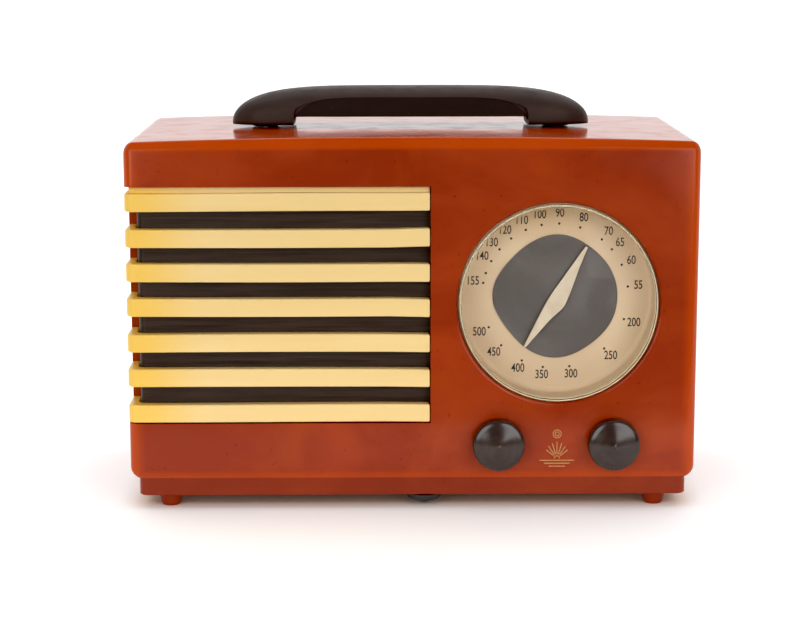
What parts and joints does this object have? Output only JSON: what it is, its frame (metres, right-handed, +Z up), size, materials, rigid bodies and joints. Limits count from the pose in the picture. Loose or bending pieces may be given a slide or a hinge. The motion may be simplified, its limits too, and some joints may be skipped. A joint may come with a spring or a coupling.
{
  "type": "table radio",
  "caption": "Portable mains table radio: orange cast phenolic cabinet with cream wrap-around louvres, round domed dial, two knobs and a fixed dark bar handle.",
  "frame": {"origin": "on the table, under the middle of the whole radio, knobs and back screws included", "axes": "+Z up, -Y out of the front face towards the listener, +X to the listener's right, along the cabinet's width"},
  "size_m": [0.2794, 0.1518, 0.2042],
  "materials": {
    "cast_phenolic": "polished, lightly marbled burnt orange",
    "cream_phenolic": "polished cream, deeper gold at the thin edges",
    "baffle_board": "satin dark brown with fine horizontal grain",
    "lens": "clear moulded dome",
    "dial_paint": "aged tan enamel",
    "dial_disc": "matt grey, slightly wrinkled",
    "pointer_paint": "cream enamel",
    "knob_plastic": "polished dark brown",
    "handle_plastic": "satin, near black brown",
    "plated_steel": "dull plated sheet",
    "screw_steel": "plain",
    "brass": "dull brass",
    "spun_aluminium": "satin",
    "woven_cord": "woven",
    "cone_paper": "pressed paper",
    "magnet_paint": "dark enamel",
    "core_iron": "laminated, varnished",
    "valve_glass": "clear bulb, silvered inside the top, brown base",
    "socket_board": "brown phenolic",
    "back_board": "pressed fibreboard",
    "aerial_copper": "varnished copper turns",
    "rubber": "matt"
  },
  "bodies": {
    "cabinet_body": {"cabinet": "cast_phenolic", "grille_bar_1": "cream_phenolic", "grille_bar_2": "cream_phenolic", "grille_bar_3": "cream_phenolic", "grille_bar_4": "cream_phenolic", "grille_bar_5": "cream_phenolic", "grille_bar_6": "cream_phenolic", "grille_bar_7": "cream_phenolic", "grille_baffle": "baffle_board", "dial_lens": "lens", "dial_pan": "dial_paint", "dial_centre_disc": "dial_disc", "drive_cord": "woven_cord", "tuning_bush": "brass", "volume_control": "plated_steel", "gang_frame": "plated_steel", "gang_stator": "spun_aluminium", "gang_bracket": "plated_steel", "chassis": "plated_steel", "valve_socket_1": "socket_board", "valve_1": "valve_glass", "valve_socket_2": "socket_board", "valve_2": "valve_glass", "valve_socket_3": "socket_board", "valve_3": "valve_glass", "valve_socket_4": "socket_board", "valve_4": "valve_glass", "valve_socket_5": "socket_board", "valve_5": "valve_glass", "if_can_1": "spun_aluminium", "if_can_2": "spun_aluminium", "filter_capacitor": "spun_aluminium", "output_transformer": "core_iron", "speaker_frame": "plated_steel", "speaker_surround": "cone_paper", "speaker_magnet": "magnet_paint", "back_cover": "back_board", "back_screw_1": "brass", "back_screw_2": "brass", "back_screw_3": "brass", "back_screw_4": "brass", "loop_aerial": "aerial_copper", "cord_grommet": "rubber", "base_bolt_front": "rubber", "base_bolt_rear": "rubber", "handle": "handle_plastic", "handle_boss_left": "handle_plastic", "handle_screw_left": "screw_steel", "handle_boss_right": "handle_plastic", "handle_screw_right": "screw_steel"},
    "dial_drive": {"dial_pointer": "pointer_paint", "dial_shaft": "brass", "drive_drum": "spun_aluminium", "gang_rotor": "spun_aluminium"},
    "tuning_control": {"tuning_knob": "knob_plastic", "tuning_shaft": "brass"},
    "volume_knob_body": {"volume_knob": "knob_plastic", "volume_shaft": "brass"},
    "cone_body": {"speaker_cone": "cone_paper"}
  },
  "joints": [
    {"name": "dial_spin", "type": "hinge", "parent": "cabinet_body", "child": "dial_drive", "pos_m": [0.0713, -0.0457, 0.1028], "axis": [0, 1, 0], "range_deg": [-110, 51]},
    {"name": "tuning_spin", "type": "hinge", "parent": "cabinet_body", "child": "tuning_control", "pos_m": [0.0987, -0.0647, 0.0335], "axis": [0, 1, 0], "range_deg": [-550, 255]},
    {"name": "volume_spin", "type": "hinge", "parent": "cabinet_body", "child": "volume_knob_body", "pos_m": [0.0421, -0.0647, 0.0335], "axis": [0, 1, 0], "range_deg": [0, 300]},
    {"name": "cone_slide", "type": "slide", "parent": "cabinet_body", "child": "cone_body", "axis": [0, -1, 0], "range_m": [-0.0006, 0.0006], "stiffness_N_per_m": 1500}
  ],
  "couplings": [
    {"joint": "tuning_spin", "follows": "dial_spin", "ratio": 5}
  ]
}
